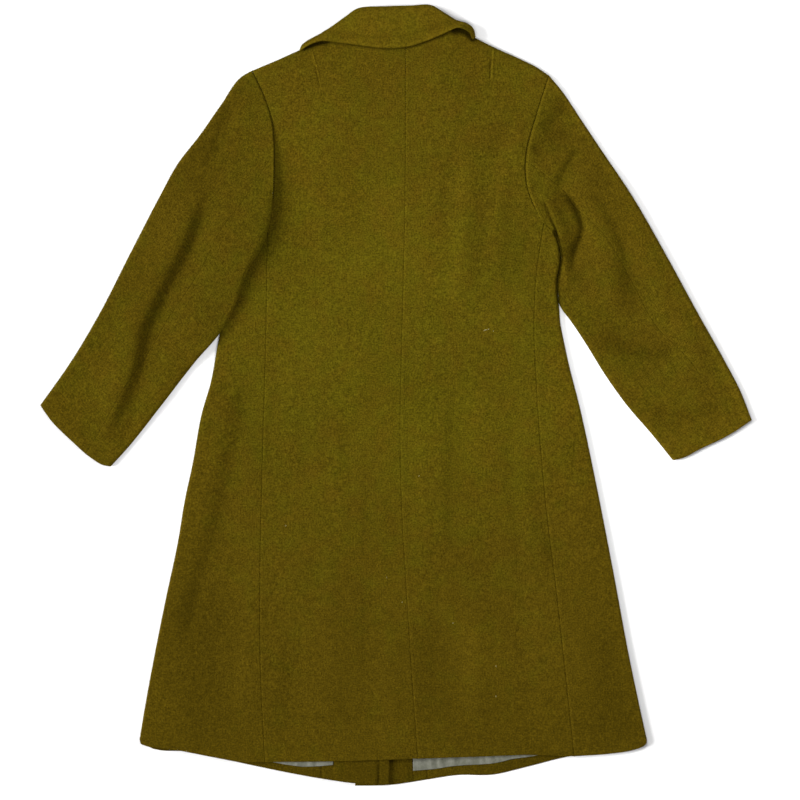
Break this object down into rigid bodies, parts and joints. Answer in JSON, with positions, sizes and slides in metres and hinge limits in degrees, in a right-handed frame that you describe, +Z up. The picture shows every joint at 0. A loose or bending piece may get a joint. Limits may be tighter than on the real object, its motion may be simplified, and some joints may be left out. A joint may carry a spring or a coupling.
{
  "type": "coat",
  "caption": "Knee-length flared wool coat laid out flat with its back up: panelled back, two-piece sleeves, small turned-down collar, lapped fronts and lining at the hem.",
  "frame": {"origin": "centre of the bounding box at the floor the coat lies on", "axes": "+Z up from the floor out of the coat's back, +Y from hem to collar, +X towards the wearer's right sleeve"},
  "size_m": [1.01, 1.1074, 0.0213],
  "materials": {
    "wool": "matt napped wool, dark olive",
    "lining": "soft satin, grey"
  },
  "bodies": {
    "root": {"back_centre_left": "wool", "back_centre_right": "wool", "back_side_left": "wool", "back_side_right": "wool", "front_left": "wool", "front_right": "wool", "facing_left": "wool", "facing_right": "wool", "lining_left": "lining", "lining_right": "lining", "sleeve_upper_left": "wool", "sleeve_under_left": "wool", "sleeve_upper_right": "wool", "sleeve_under_right": "wool", "collar": "wool", "collar_front_left": "wool", "collar_front_right": "wool"}
  },
  "joints": []
}
